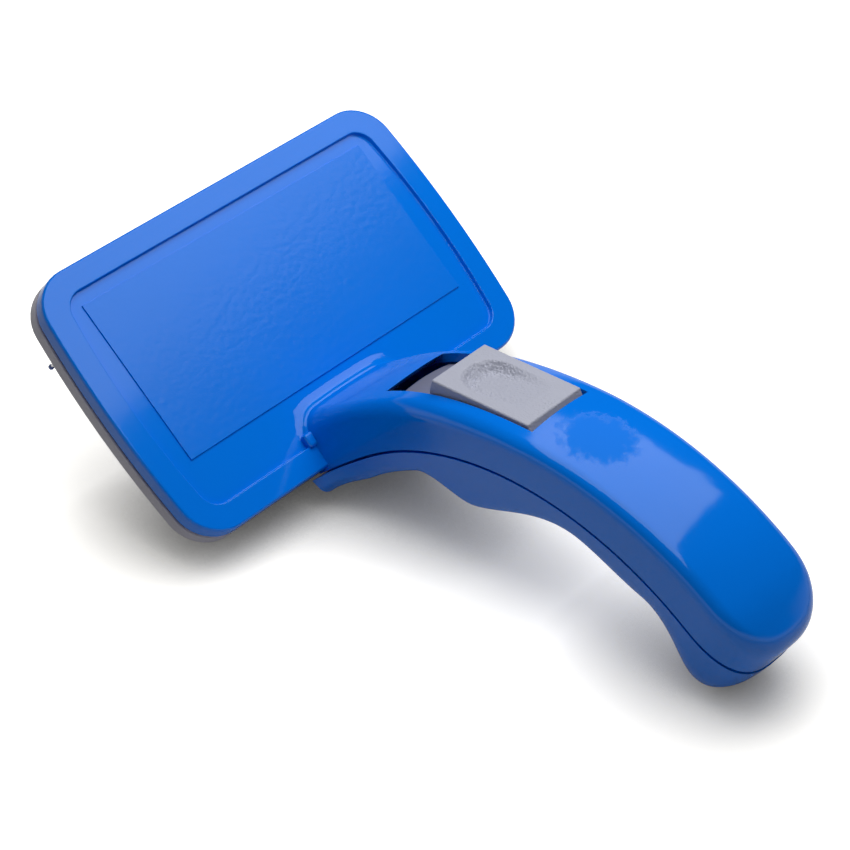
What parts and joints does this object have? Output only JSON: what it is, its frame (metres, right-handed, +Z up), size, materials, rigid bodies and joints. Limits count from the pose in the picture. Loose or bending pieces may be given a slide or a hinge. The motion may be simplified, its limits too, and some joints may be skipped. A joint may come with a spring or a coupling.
{
  "type": "self-cleaning pet slicker brush",
  "caption": "Pet slicker brush with an arched handle and a wide pin head, whose thumb slide pushes a stripper plate along the pins to clear loose hair.",
  "frame": {"origin": "centre of the bounding box's bottom, on the table that the brush lies on", "axes": "+Y from the handle's tail towards the head, +X across the head, +Z up from the table"},
  "size_m": [0.1016, 0.1632, 0.0491],
  "materials": {
    "blue_shell": "smooth gloss",
    "grey_plastic": "satin",
    "white_plastic": "plain",
    "cushion_and_pins": "steel wire pins in a rubber cushion",
    "steel": "bright"
  },
  "bodies": {
    "brush_body": {"upper_shell": "blue_shell", "lower_shell": "blue_shell", "pin_base": "white_plastic", "pin_bed": "cushion_and_pins", "return_spring": "steel", "grip_screw_middle": "steel", "grip_screw_tail": "steel", "base_screw_1": "steel", "base_screw_2": "steel", "base_screw_3": "steel", "base_screw_4": "steel"},
    "slide": {"thumb_slide": "grey_plastic", "drive_pin": "steel"},
    "plate": {"stripper_plate": "grey_plastic", "lifter": "grey_plastic", "lifter_screw_left": "steel", "lifter_screw_right": "steel"}
  },
  "joints": [
    {"name": "thumb_slide_push", "type": "slide", "parent": "brush_body", "child": "slide", "axis": [0, 0.9644, -0.2646], "range_m": [0, 0.0104], "stiffness_N_per_m": 250, "springref_m": -0.004, "deforming": ["return_spring"]},
    {"name": "stripper_plate_push", "type": "slide", "parent": "brush_body", "child": "plate", "axis": [0, 0.6247, -0.7809], "range_m": [0, 0.00842]}
  ],
  "couplings": [
    {"joint": "stripper_plate_push", "follows": "thumb_slide_push", "ratio": 0.80902}
  ]
}
